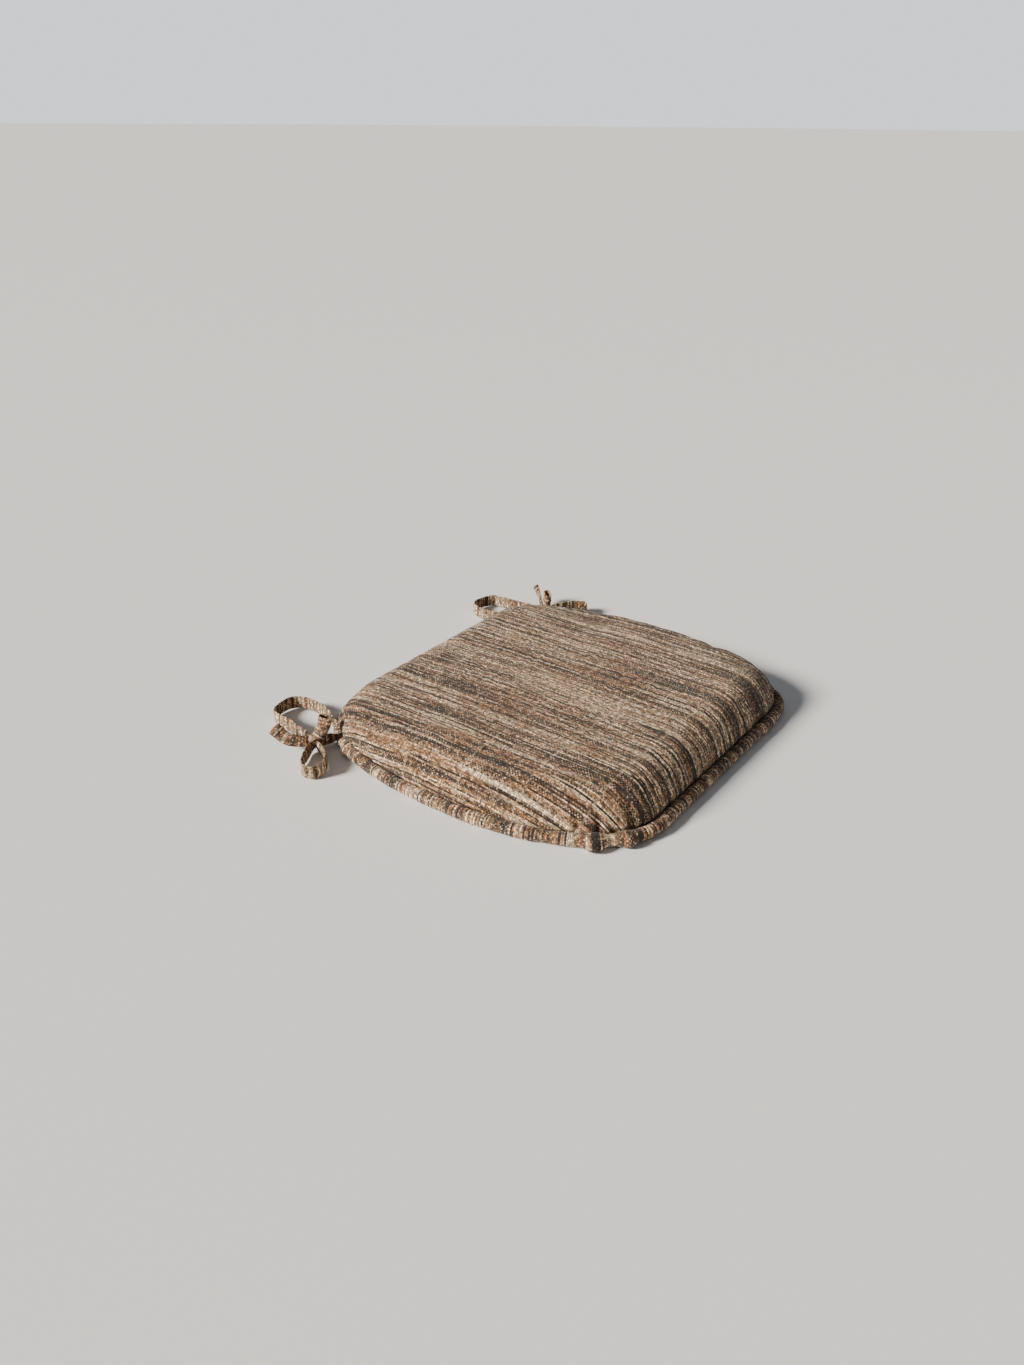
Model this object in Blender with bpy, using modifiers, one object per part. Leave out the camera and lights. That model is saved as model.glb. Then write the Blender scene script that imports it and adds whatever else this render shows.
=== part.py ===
"""A piped chair seat pad: a zipped fabric cover over a foam core, with ties round two chair posts.

Metres, +Z up. The pad lies on the plane z = 0 with its origin under the middle of its base.
Front is -Y, the chair's back is +Y. Run with: blender --background --python part.py
"""

import math

import bmesh
import bpy
import numpy as np
from mathutils import Matrix, Vector

MM = 0.001

# The outline over the piping: straight middles at front and back, four soft corners
HALF_WIDTH = 202.5 * MM
HALF_DEPTH = 183.0 * MM
STRAIGHT = 100.0 * MM
# How square each hand-sewn corner is, from back right and on round by the left
SQUARENESS = (2.1, 2.5, 2.1, 3.4)
CORNER_STEPS = 12

# Cloth, piping and padding
CLOTH = 1.0 * MM
GAP = 0.3 * MM
PIPING_RADIUS = 6.0 * MM
PIPING_LIFT = 0.5 * MM
ALLOWANCE = 22.0 * MM
SEAM = PIPING_RADIUS + 6.6 * MM
SEAM_Z = PIPING_LIFT + PIPING_RADIUS

# The two edges of cloth in the seam, each this far from the middle of the piping
FOLD = 1.1 * MM

# The dome: where it springs, how far in and how high its shoulder reaches, and its crown
SPRING_INSET = 11.0 * MM
SPRING_Z = 12.0 * MM
REACH = 51.0 * MM
RISE = 37.0 * MM
CROWN = 1.5 * MM
# The powers of the curve that the dome's side follows, at its shoulder and at its foot
SHOULDER_POWER = 3
FOOT_POWER = 0.8
# The dome's rings, as shares of the way in to its shoulder and then of the way back from its middle
SIDE_SHARES = (0.015, 0.06, 0.13, 0.24, 0.38, 0.55, 0.76, 1)
CROWN_SHARES = (0.66, 0.33)
WADDING_DEPTH = 1.5 * MM
WADDING = 3.2 * MM
FOAM_DEPTH = 5.2 * MM

# The zip in the back of the cover; its sizes are along X, out of the cover, and up the cover
CHAIN_HALF = 100.0 * MM
ZIP_Z = 22.0 * MM
CHAIN_DEPTH = 3.8 * MM
TAPE = 0.6 * MM
TAPE_UPPER = 10.0 * MM
TAPE_LOWER = 6.8 * MM
ROW_INNER = 0.55 * MM
ROW_ROOT = 1.4 * MM
ROW_OUTER = 2.4 * MM
ROW_THICK = 2.2 * MM
TOOTH_PITCH = 2.5 * MM
SLOT_HALF = 4.8 * MM
SLIDER_HALF = 4.5 * MM
SLIDER_REST = CHAIN_HALF - SLIDER_HALF - 0.8 * MM
PULLER_PIVOT = 0.9 * MM
PULLER_LENGTH = 22.0 * MM
PULLER_HALF = 3.2 * MM
PULLER_NECK = 2.4 * MM
PULLER_THICK = 1.2 * MM
STOP_LENGTH = 2.8 * MM
TAPE_END = CHAIN_HALF + 4 * MM
# The slot in the cover over the chain, and the room cut in the padding behind it
SLOT_END = CHAIN_HALF + 3 * MM
ROOM_END = CHAIN_HALF + 6 * MM
ROOM_DEPTH = 7 * MM
ROOM_HALF = 12 * MM
CUTTER_FRONT = 6 * MM

# The ties, drawn for the left corner: flat straps that stand on edge
STRAP_WIDTH = 14.0 * MM
STRAP = 2.4 * MM
STRAP_Z = 8.0 * MM
KNOT = Vector((-191.0, 156.0, 9.5)) * MM
KNOT_RADII = (6.2 * MM, 6.2 * MM, 7.5 * MM)
BACK_STRAP = ((-158, 167.5), (-147, 181), (-142.5, 198), (-143, 219), (-151, 231), (-170, 232),
              (-182, 222), (-184.5, 200), (-187, 180), (-190, 165))
FRONT_STRAP = ((-175.5, 148.5), (-180, 150.5), (-183.5, 152.5))
LOOP = ((-194.6, 148), (-199, 138), (-209, 123), (-222, 116), (-231, 119), (-233, 128), (-225, 139),
        (-212, 147), (-199, 153))
LONG_TAIL = ((-196, 162, 9), (-202, 167, 9.5), (-208, 172, 11), (-213, 178, 14.5), (-216, 185, 19.5))
SHORT_TAIL = ((-188.5, 152, 18), (-186.5, 149.5, 23), (-184, 147, 29), (-182.5, 145.5, 36))
SHORT_TAIL_WIDTH = 10.5 * MM
SHORT_TAIL_THICK = 6.0 * MM
STRAP_STEP = 6.0 * MM


def clear_scene():
    """Empties the scene that the pad is built in."""
    for old in list(bpy.data.objects):
        bpy.data.objects.remove(old)


def collection(name):
    """A new collection in the scene."""
    made = bpy.data.collections.new(name)
    bpy.context.scene.collection.children.link(made)
    return made


def material(name, colour, roughness, metallic=0.0):
    """A plain finish."""
    made = bpy.data.materials.new(name)
    made.use_nodes = True
    shader = made.node_tree.nodes["Principled BSDF"]
    shader.inputs["Base Color"].default_value = (*colour, 1.0)
    shader.inputs["Roughness"].default_value = roughness
    shader.inputs["Metallic"].default_value = metallic
    return made


def add(name, bm, finish, where, parent=None):
    """Puts a bmesh into the scene as an object, with its faces turned outwards."""
    bmesh.ops.recalc_face_normals(bm, faces=bm.faces)
    mesh = bpy.data.meshes.new(name)
    bm.to_mesh(mesh)
    bm.free()
    made = bpy.data.objects.new(name, mesh)
    made.parent = parent
    where.objects.link(made)
    if finish:
        mesh.materials.append(finish)
    mesh.shade_smooth()
    mesh.set_sharp_from_angle(angle=math.radians(40))
    return made


def ring(inset, z):
    """The pad's outline at a height, drawn in by inset.

    Each corner is a superellipse about the end of the straight middle. It moves in along its own
    normal as far as the seam, and past that its half axes shrink, so that deep rings stay smooth.
    """
    along_normal = min(inset, SEAM)
    half_x = HALF_WIDTH - STRAIGHT - (inset - along_normal)
    half_y = HALF_DEPTH - (inset - along_normal)
    points = []
    for quarter, power in enumerate(SQUARENESS):
        angle = np.radians(90 * quarter) + np.linspace(0, math.pi / 2, CORNER_STEPS + 1)
        side = 1 if quarter in (0, 3) else -1
        across, up = np.cos(angle), np.sin(angle)
        far = (np.abs(across / half_x) ** power + np.abs(up / half_y) ** power) ** (-1 / power)
        x, y = far * across, far * up
        out = np.stack([np.sign(x) * np.abs(x / half_x) ** (power - 1) / half_x,
                        np.sign(y) * np.abs(y / half_y) ** (power - 1) / half_y])
        out /= np.linalg.norm(out, axis=0)
        x, y = x + side * STRAIGHT - out[0] * along_normal, y - out[1] * along_normal
        corner = np.stack([x, y, np.full(len(x), z)], axis=1)
        points.append(corner[:-1] if quarter in (1, 3) else corner)
    return np.concatenate(points)


def loft(name, rings, finish, where, closed=False, cap_start=False, cap_end=False):
    """A skin over rings that have the same number of points, closed on itself or capped."""
    bm = bmesh.new()
    loops = [[bm.verts.new(point) for point in points] for points in rings]
    pairs = list(zip(loops, loops[1:])) + ([(loops[-1], loops[0])] if closed else [])
    for low, high in pairs:
        for i, vert in enumerate(low):
            j = (i + 1) % len(low)
            bm.faces.new((vert, low[j], high[j], high[i]))
    if cap_start:
        bm.faces.new(loops[0])
    if cap_end:
        bm.faces.new(loops[-1])
    return add(name, bm, finish, where)


def prism(name, outline, depth, finish, where, turned=Matrix(), parent=None):
    """A flat outline in X and Y, given thickness each way along Z and then turned."""
    bm = bmesh.new()
    face = bm.faces.new([bm.verts.new((x, y, -depth / 2)) for x, y in outline])
    lid = bmesh.ops.extrude_face_region(bm, geom=[face])["geom"]
    moved = [item for item in lid if isinstance(item, bmesh.types.BMVert)]
    bmesh.ops.translate(bm, verts=moved, vec=(0, 0, depth))
    bmesh.ops.transform(bm, matrix=turned, verts=bm.verts)
    return add(name, bm, finish, where, parent)


def box(name, low, high, finish, where, parent=None):
    """A box between two corners."""
    bm = bmesh.new()
    low, high = Vector(low), Vector(high)
    size = Matrix.Diagonal((*(high - low), 1))
    bmesh.ops.create_cube(bm, size=1, matrix=Matrix.Translation((low + high) / 2) @ size)
    return add(name, bm, finish, where, parent)


def thicken(piece, thickness):
    """Gives an open skin its cloth, laid on the inside."""
    solid = piece.modifiers.new("cloth", "SOLIDIFY")
    solid.thickness = thickness
    solid.offset = -1
    solid.use_even_offset = True


def combine(piece, other, operation):
    """Cuts a piece with another, or joins the other to it."""
    other.hide_render = True
    other.display_type = "WIRE"
    made = piece.modifiers.new(operation.lower() + "_" + other.name, "BOOLEAN")
    made.operation = operation
    made.object = other


def climb(share):
    """How much of its rise the dome has made, at a share of the way in from its spring to its shoulder."""
    return (1 - (1 - share) ** SHOULDER_POWER) ** FOOT_POWER


def dome(depth):
    """Rings of the domed top, lying depth below the cover's outer face, from its spring to its crown."""
    rings = []
    for share in SIDE_SHARES:
        inset = SPRING_INSET + depth + (REACH - depth) * share
        rings.append(ring(inset, SPRING_Z + (RISE - depth) * climb(share)))
    shoulder = rings[-1]
    for share in CROWN_SHARES:
        crowned = shoulder * (share, share, 1)
        crowned[:, 2] += CROWN * (1 - share**2)
        rings.append(crowned)
    return rings


def cover_pieces(cloth, where):
    """The domed top and the flat base, each with its seam allowance turned in under it."""
    top_edge = [ring(ALLOWANCE, SEAM_Z + FOLD), ring(SEAM, SEAM_Z + FOLD),
                ring(SEAM - 1.2 * MM, SEAM_Z + 3.7 * MM)]
    top = loft("top_cover", top_edge + dome(0), cloth, where, cap_end=True)
    thicken(top, CLOTH)
    base_edge = [ring(ALLOWANCE, SEAM_Z - FOLD), ring(SEAM, SEAM_Z - FOLD),
                 ring(SEAM + 0.3 * MM, SEAM_Z - 3.0 * MM), ring(SEAM + 2.5 * MM, 0)]
    base = loft("base_panel", base_edge + [ring(SEAM + 30 * MM, 0)], cloth, where, cap_end=True)
    thicken(base, CLOTH)
    return top


def piping(cloth, cord_finish, where):
    """A cord inside a strip of cloth, whose two edges run in through the seam side by side."""
    opening = math.radians(8)
    around = np.linspace(opening, 2 * math.pi - opening, 13)
    outer = [(PIPING_RADIUS * (1 + math.cos(a)), SEAM_Z + PIPING_RADIUS * math.sin(a)) for a in around]
    inner_radius = PIPING_RADIUS - CLOTH
    inner = [(PIPING_RADIUS + inner_radius * math.cos(a), SEAM_Z + inner_radius * math.sin(a))
             for a in around[::-1]]
    edge = 2.6 * GAP
    section = ([(ALLOWANCE, SEAM_Z + edge)] + outer + [(ALLOWANCE, SEAM_Z - edge),
               (ALLOWANCE, SEAM_Z - GAP)] + inner + [(ALLOWANCE, SEAM_Z + GAP)])
    loft("piping_cover", [ring(inset, z) for inset, z in section], cloth, where, closed=True)
    cord_radius = inner_radius - GAP
    turns = np.linspace(0, 2 * math.pi, 9)[:-1]
    sides = [ring(PIPING_RADIUS - cord_radius * math.cos(a), SEAM_Z + cord_radius * math.sin(a))
             for a in turns]
    loft("piping_cord", sides, cord_finish, where, closed=True)


def padding(foam, fibre, where):
    """The foam slab on the base, and the layer of fibre wadding between it and the cover."""
    side = ALLOWANCE + 1.5 * MM
    foot = [ring(side, CLOTH + GAP), ring(side, SPRING_Z)]
    core = loft("foam_core", foot + dome(FOAM_DEPTH)[1:], foam, where, cap_start=True, cap_end=True)
    wadding = loft("fibre_wadding", dome(WADDING_DEPTH), fibre, where, cap_end=True)
    thicken(wadding, WADDING)
    return core, wadding


def zip_place():
    """An empty on the back of the cover where the zip runs: its Y points out of the cloth."""
    share = 1 - (1 - ((ZIP_Z - SPRING_Z) / RISE) ** (1 / FOOT_POWER)) ** (1 / SHOULDER_POWER)
    inset = SPRING_INSET + REACH * share
    step = 0.001
    lean = math.atan2(REACH * step, RISE * (climb(share + step) - climb(share)))
    place = bpy.data.objects.new("zip_place", None)
    place.location = (0, HALF_DEPTH - inset, ZIP_Z)
    place.rotation_euler = (lean, 0, 0)
    return place


def comb(side):
    """One row of the chain: a bar with a tooth on each pitch, the two rows half a pitch apart."""
    points = [(CHAIN_HALF, side * ROW_OUTER), (-CHAIN_HALF, side * ROW_OUTER),
              (-CHAIN_HALF, side * ROW_ROOT)]
    count = round(2 * CHAIN_HALF / TOOTH_PITCH) - 1
    for i in range(count):
        middle = (i - count / 2 + 0.5 + side / 4) * TOOTH_PITCH
        quarter = TOOTH_PITCH / 4
        points += [(middle - quarter, side * ROW_ROOT), (middle - quarter * 0.7, side * ROW_INNER),
                   (middle + quarter * 0.7, side * ROW_INNER), (middle + quarter, side * ROW_ROOT)]
    return points + [(CHAIN_HALF, side * ROW_ROOT)]


def zip_pieces(place, tape, coil, metal, where, guides):
    """Tapes, toothed rows, stops, and the slider with its puller at the closed end."""
    upright = Matrix.Rotation(math.pi / 2, 4, "X")
    at_depth = Matrix.Translation((0, -CHAIN_DEPTH, 0))
    front, rear = -CHAIN_DEPTH + TAPE / 2, -CHAIN_DEPTH - TAPE / 2
    stop_front, stop_rear = -CHAIN_DEPTH + ROW_THICK / 2, -CHAIN_DEPTH - ROW_THICK / 2
    stop_start = CHAIN_HALF + GAP
    stop_end = stop_start + STOP_LENGTH - GAP
    for label, side, width in (("upper", 1, TAPE_UPPER), ("lower", -1, TAPE_LOWER)):
        near, far = sorted((side * (ROW_OUTER + GAP), side * width))
        box("zip_tape_" + label, (-TAPE_END, rear, near), (TAPE_END, front, far), tape, where, place)
        prism("zip_teeth_" + label, comb(side), ROW_THICK, coil, where, at_depth @ upright, place)
        near, far = sorted((side * ROW_INNER, side * ROW_OUTER))
        box("zip_top_stop_" + label, (stop_start, stop_rear, near), (stop_end, stop_front, far), metal,
            where, place)
    box("zip_bottom_stop", (-stop_end, stop_rear, -ROW_OUTER), (-stop_start, stop_front, ROW_OUTER), metal,
        where, place)

    lip, wall, web = ROW_THICK / 2 - 0.5 * MM, 3.0 * MM, 0.25 * MM
    low, high, edge = ROW_THICK / 2 + 0.4 * MM, ROW_THICK / 2 + 1.4 * MM, 4.0 * MM
    quarter = [(low, web), (low, wall), (lip, wall), (lip, edge), (high, edge)]
    section = quarter + [(y, -z) for y, z in reversed(quarter)]
    section += [(-y, z) for y, z in reversed(section)]
    along = Matrix.Rotation(math.pi / 2, 4, "Z") @ upright
    slider = prism("zip_slider", section, 2 * SLIDER_HALF, metal, where, at_depth @ along, place)
    bail = prism("bail_blank", bail_outline(), 1.2 * MM, None, guides, parent=place)
    for piece in (slider, bail):
        piece.location.x = SLIDER_REST
    combine(slider, bail, "UNION")

    puller = prism("zip_puller", puller_outline(), PULLER_THICK, metal, where, upright, place)
    puller.location = (SLIDER_REST, PULLER_PIVOT, 0)
    eye = box("eye_cutter", (-5.4 * MM, -2 * MM, -1.3 * MM), (-0.6 * MM, 2 * MM, 1.3 * MM), None, guides,
              puller)
    combine(puller, eye, "DIFFERENCE")


def puller_outline():
    """The puller from above: a flat tab with clipped corners and a neck at its hinge end."""
    clip, neck_end, hinge_end = 1.5 * MM, -4 * MM, 0.6 * MM
    half = [(-PULLER_LENGTH, PULLER_HALF - 1.0 * MM), (-PULLER_LENGTH + clip, PULLER_HALF),
            (neck_end - 3 * MM, PULLER_HALF), (neck_end, PULLER_NECK), (hinge_end, PULLER_NECK)]
    return [(x, -y) for x, y in half] + half[::-1]


def bail_outline():
    """The little arch on the slider that the puller's bar turns under, from the side."""
    foot, under, over = -1.5 * MM, PULLER_PIVOT + 0.9 * MM, PULLER_PIVOT + 2.1 * MM
    return [(-3.6 * MM, foot), (-2.4 * MM, foot), (-2.4 * MM, under), (2.4 * MM, under), (2.4 * MM, foot),
            (3.6 * MM, foot), (3.6 * MM, over - 0.6 * MM), (3.0 * MM, over), (-3.0 * MM, over),
            (-3.6 * MM, over - 0.6 * MM)]


def smooth(route, step):
    """Points about step apart on a smooth curve through a route's own points."""
    route = np.array(route, float) * MM
    ends = np.vstack([2 * route[0] - route[1], route, 2 * route[-1] - route[-2]])
    line = []
    for a, b, c, d in zip(ends, ends[1:], ends[2:], ends[3:]):
        count = max(2, round(np.linalg.norm(c - b) / step))
        for t in np.arange(count) / count:
            line.append(0.5 * (2 * b + (c - a) * t + (2 * a - 5 * b + 4 * c - d) * t**2
                               + (3 * b - a - 3 * c + d) * t**3))
    return np.array(line + [route[-1]])


def strap(name, route, width, thickness, across, finish, where, side):
    """A flat strap along a route; across is the way its width lies, and side mirrors it."""
    line = smooth(route, STRAP_STEP)
    along = np.gradient(line, axis=0)
    face = np.cross(along, across)
    face *= thickness / 2 / np.linalg.norm(face, axis=1, keepdims=True)
    wide = np.array(across) / np.linalg.norm(across) * width / 2
    corners = np.stack([line + face + wide, line - face + wide, line - face - wide,
                        line + face - wide], axis=1)
    corners[:, :, 0] *= -side
    loft(name, corners, finish, where, cap_start=True, cap_end=True)


def ties(label, side, cloth, where):
    """The two straps of one back corner, as they lie once tied round a chair's post."""
    upright = (0, 0, 1)
    level = {"back_strap": BACK_STRAP, "front_strap": FRONT_STRAP, "loop": LOOP}
    for name, route in level.items():
        raised = [(x, y, STRAP_Z / MM) for x, y in route]
        strap(f"tie_{label}_{name}", raised, STRAP_WIDTH, STRAP, upright, cloth, where, side)
    strap(f"tie_{label}_long_tail", LONG_TAIL, STRAP_WIDTH, STRAP, upright, cloth, where, side)
    strap(f"tie_{label}_short_tail", SHORT_TAIL, SHORT_TAIL_WIDTH, SHORT_TAIL_THICK, (0.57, -0.82, 0),
          cloth, where, side)
    bm = bmesh.new()
    bmesh.ops.create_uvsphere(bm, u_segments=12, v_segments=8, radius=1,
                              matrix=Matrix.Translation((-side * KNOT.x, KNOT.y, KNOT.z))
                              @ Matrix.Diagonal((*KNOT_RADII, 1)))
    add(f"tie_{label}_knot", bm, cloth, where)


def main():
    clear_scene()
    pad = collection("chair_seat_pad")
    guides = collection("cutters")
    cloth = material("woven_cloth", (0.33, 0.25, 0.19), 0.9)
    cord_finish = material("cotton_cord", (0.80, 0.77, 0.70), 0.9)
    foam = material("foam", (0.88, 0.84, 0.68), 0.95)
    fibre = material("wadding", (0.92, 0.92, 0.90), 0.95)
    tape = material("zip_tape", (0.16, 0.11, 0.08), 0.85)
    coil = material("zip_coil", (0.13, 0.09, 0.06), 0.4)
    metal = material("zip_metal", (0.33, 0.27, 0.20), 0.35, 0.9)

    top = cover_pieces(cloth, pad)
    piping(cloth, cord_finish, pad)
    core, wadding = padding(foam, fibre, pad)

    place = zip_place()
    pad.objects.link(place)
    zip_pieces(place, tape, coil, metal, pad, guides)
    slot = box("slot_cutter", (-SLOT_END, -CHAIN_DEPTH - GAP, -SLOT_HALF),
               (SLOT_END, CUTTER_FRONT, SLOT_HALF), None, guides, place)
    combine(top, slot, "DIFFERENCE")
    room = box("zip_room_cutter", (-ROOM_END, -ROOM_DEPTH, -ROOM_HALF),
               (ROOM_END, CUTTER_FRONT, ROOM_HALF), None, guides, place)
    combine(core, room, "DIFFERENCE")
    combine(wadding, room, "DIFFERENCE")

    for label, side in (("left", -1), ("right", 1)):
        ties(label, side, cloth, pad)


main()
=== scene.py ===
"""The looks of a piped chair seat pad: woven cover, piping, base, filling, tie straps and zip.

Metres, +Z up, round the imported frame. The pad lies on z = 0; -Y is its front and +Y its back.
"""

import math

import bmesh
import bpy
import numpy as np
from mathutils import Matrix, Vector


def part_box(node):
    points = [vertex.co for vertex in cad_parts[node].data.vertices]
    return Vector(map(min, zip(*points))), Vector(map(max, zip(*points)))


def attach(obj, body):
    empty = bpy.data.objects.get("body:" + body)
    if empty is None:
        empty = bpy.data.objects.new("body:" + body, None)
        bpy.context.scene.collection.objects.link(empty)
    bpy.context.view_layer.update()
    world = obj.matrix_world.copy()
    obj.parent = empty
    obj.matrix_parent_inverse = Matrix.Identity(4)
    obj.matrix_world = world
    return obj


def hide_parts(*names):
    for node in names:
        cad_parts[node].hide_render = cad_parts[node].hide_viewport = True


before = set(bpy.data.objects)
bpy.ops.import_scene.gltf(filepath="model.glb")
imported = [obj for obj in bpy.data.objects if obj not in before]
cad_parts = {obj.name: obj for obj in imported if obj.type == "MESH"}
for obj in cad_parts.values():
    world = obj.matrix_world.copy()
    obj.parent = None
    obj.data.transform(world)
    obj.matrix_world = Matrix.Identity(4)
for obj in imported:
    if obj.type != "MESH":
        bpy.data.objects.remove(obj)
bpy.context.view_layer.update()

bl_info = {
    "name": "Piped Seat Pad",
    "version": (1, 0, 0),
    "blender": (4, 5, 0),
    "location": "View3D > Sidebar > Seat Pad",
    "description": "Makes the cloth, piping, filling, ties and zip of a chair seat pad on its packed frame",
    "category": "Object",
}

MM = 0.001
CUSHION = "cushion"

# The outline, from the frame: straight middles at front and back, and four soft corners
PIPING_LOW, PIPING_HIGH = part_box("piping_cover")
HALF_WIDTH = PIPING_HIGH.x
HALF_DEPTH = PIPING_HIGH.y
PIPING_RADIUS = (PIPING_HIGH.z - PIPING_LOW.z) / 2
SEAM_Z = (PIPING_HIGH.z + PIPING_LOW.z) / 2
STRAIGHT = 100.0 * MM
SQUARENESS = (2.1, 2.5, 2.1, 3.4)
CORNER_COLUMNS = 100
STRAIGHT_COLUMNS = 60

# The seam and the dome, as the frame has them
SEAM = PIPING_RADIUS + 6.6 * MM
ALLOWANCE = 22.0 * MM
FOLD = 1.1 * MM
SPRING_INSET = 11.0 * MM
SPRING_Z = 12.0 * MM
REACH = 51.0 * MM
CROWN = 1.5 * MM
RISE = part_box("top_cover")[1].z - SPRING_Z - CROWN
CROWN_HUB = 0.12
SHOULDER_POWER = 3
FOOT_POWER = 0.8

# The ties, in millimetres, drawn for the left corner
STRAP_Z = 8.0
FRONT_STRAP = ((-168, 143.5), (-175.5, 148.5), (-180, 150.5), (-183.5, 152.5))
LOOP = ((-194.6, 148), (-199, 138), (-209, 123), (-222, 116), (-231, 119), (-233, 128), (-225, 139),
        (-212, 147), (-199, 153))
SHORT_TAIL = ((-189.5, 151.5, 17), (-188.5, 149.5, 22), (-186.5, 147, 29), (-185, 145.5, 37))
BACK_STRAP = ((-153.5, 156), (-154, 168), (-147, 181), (-142.5, 198), (-143, 219), (-151, 231), (-170, 232),
              (-182, 222), (-184.5, 200), (-187, 180), (-190, 165))
LONG_TAIL = ((-196, 162, 9), (-202, 167, 10), (-208, 172, 12.5), (-213, 178, 18), (-216, 185, 25))
KNOT = np.array((-191.0, 156.0, 9.5)) * MM


def length(name, default, text):
    """A size in metres for a settings group."""
    return bpy.props.FloatProperty(name=name, description=text, default=default, unit="LENGTH",
                                   precision=5)


def colour(name, default, text):
    """A colour for a settings group."""
    return bpy.props.FloatVectorProperty(name=name, description=text, default=default,
                                         subtype="COLOR", size=3, min=0, max=1)


class PadSizes(bpy.types.PropertyGroup):
    """Sizes of the cloth and of what is sewn from it."""

    cloth: length("Cloth", 1.0 * MM, "Thickness of the woven cloth")
    warp_pitch: length("Warp pitch", 1.6 * MM, "From one lengthwise yarn to the next")
    weft_pitch: length("Weft pitch", 1.5 * MM, "From one crosswise yarn to the next")
    check: length("Check", 60.0 * MM, "From one pale crosswise line to the next")
    swell_cap: length("Swell cap", 4.0 * MM, "How far the simulation may move a point of the cover")
    ease: bpy.props.FloatProperty(name="Ease", default=0.03, subtype="FACTOR",
                                  description="How much larger than its place the cover's cloth is cut")
    strap: length("Strap width", 14.0 * MM, "Width of a tie strap")
    strap_thick: length("Strap thickness", 2.6 * MM, "Thickness of a folded tie strap")


class PadColours(bpy.types.PropertyGroup):
    """Colours of the yarns, the filling and the zip."""

    cream: colour("Cream yarn", (0.86, 0.66, 0.44), "The lightest yarn")
    tan: colour("Tan yarn", (0.36, 0.185, 0.082), "The commonest yarn")
    rust: colour("Rust yarn", (0.25, 0.10, 0.035), "The warm yarn")
    grey: colour("Grey yarn", (0.10, 0.066, 0.045), "The cool yarn")
    dark: colour("Dark yarn", (0.010, 0.006, 0.004), "The thin dark yarn")
    cotton: colour("Cotton", (0.80, 0.77, 0.70), "The piping's filler cord and the sewing thread")
    foam: colour("Foam", (0.88, 0.84, 0.68), "The foam slab")
    fibre: colour("Fibre", (0.92, 0.92, 0.90), "The wadding")
    tape: colour("Zip tape", (0.16, 0.11, 0.08), "The zip's woven tape")
    coil: colour("Zip coil", (0.13, 0.09, 0.06), "The zip's moulded teeth")
    metal: colour("Zip metal", (0.36, 0.29, 0.21), "The slider, the puller and the stops")


class StudioSettings(bpy.types.PropertyGroup):
    """Where the camera stands and how bright the lights are."""

    camera: bpy.props.FloatVectorProperty(name="Camera", description="Where the camera stands",
                                          default=(-0.782, -0.519, 0.551), subtype="TRANSLATION")
    heading: bpy.props.FloatProperty(name="Heading", default=math.radians(36.55), subtype="ANGLE",
                                     description="The way that the camera looks, from +X towards +Y")
    dip: bpy.props.FloatProperty(name="Dip", default=math.radians(28.48), subtype="ANGLE",
                                 description="How far the camera looks down")
    roll: bpy.props.FloatProperty(name="Roll", default=math.radians(0.46), subtype="ANGLE",
                                  description="How far the camera is turned about its view")
    lens: bpy.props.FloatProperty(name="Lens", default=27.96, subtype="DISTANCE_CAMERA",
                                  description="Focal length in millimetres, on a 36 mm sensor")
    key: bpy.props.FloatProperty(name="Key", default=7.6, min=0,
                                 description="Strength of the sun at the left of the back")
    fill: bpy.props.FloatProperty(name="Fill", default=0.3, subtype="POWER",
                                  description="Power of the light at the right of the front")
    air: bpy.props.FloatProperty(name="Air", default=0.17, min=0,
                                 description="Strength of the even light from all round")
    backdrop: bpy.props.FloatProperty(name="Backdrop", default=1.25, min=0,
                                      description="Brightness of the air where the camera sees it")


# --- Meshes -------------------------------------------------------------------------------------

def skin(name, points, chart=None, ring_rows=False, ring_columns=True, close_start=False,
         close_end=False, keep=None):
    """A mesh over a grid of points, one face for each cell.

    ring_rows and ring_columns join the last row or column to the first. close_start and close_end
    shut the first or last row with a fan to its middle. chart holds each point's place in the flat
    cloth, and may have one more row or column than points where the grid is joined on itself.
    """
    rows, cols = points.shape[:2]
    chart = points[..., :2] if chart is None else chart
    if ring_columns and chart.shape[1] == cols:
        chart = np.concatenate([chart, chart[:, :1]], axis=1)
    if ring_rows and chart.shape[0] == rows:
        chart = np.concatenate([chart, chart[:1]], axis=0)
    row, col = np.meshgrid(np.arange(rows - 1 + ring_rows), np.arange(cols - 1 + ring_columns),
                           indexing="ij")
    if keep is not None:
        row, col = row[keep], col[keep]
    row, col = row.ravel(), col.ravel()
    cell_row = np.stack([row, row, row + 1, row + 1], axis=1)
    cell_col = np.stack([col, col + 1, col + 1, col], axis=1)
    faces = ((cell_row % rows) * cols + cell_col % cols).tolist()
    flat = [chart[cell_row, cell_col].reshape(-1, 2)]
    verts = [points.reshape(-1, 3)]
    for closed, edge in ((close_start, 0), (close_end, rows - 1)):
        if closed:
            middle = rows * cols + len(verts) - 1
            verts.append(points[edge].mean(axis=0)[None])
            here = np.arange(cols)
            pair = np.stack([here, here + 1], axis=1)[:, ::1 if edge else -1]
            fan = np.concatenate([edge * cols + pair % cols, np.full((cols, 1), middle)], axis=1)
            faces += fan.tolist()
            hub = np.repeat(chart[edge].mean(axis=0)[None, None], cols, axis=0)
            flat.append(np.concatenate([chart[edge, pair], hub], axis=1).reshape(-1, 2))
    mesh = bpy.data.meshes.new(name)
    mesh.from_pydata(np.concatenate(verts), [], faces)
    mesh.uv_layers.new(name="cloth").data.foreach_set("uv", np.concatenate(flat).ravel())
    mesh.shade_smooth()
    piece = bpy.data.objects.new(name, mesh)
    bpy.context.scene.collection.objects.link(piece)
    return piece


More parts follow.
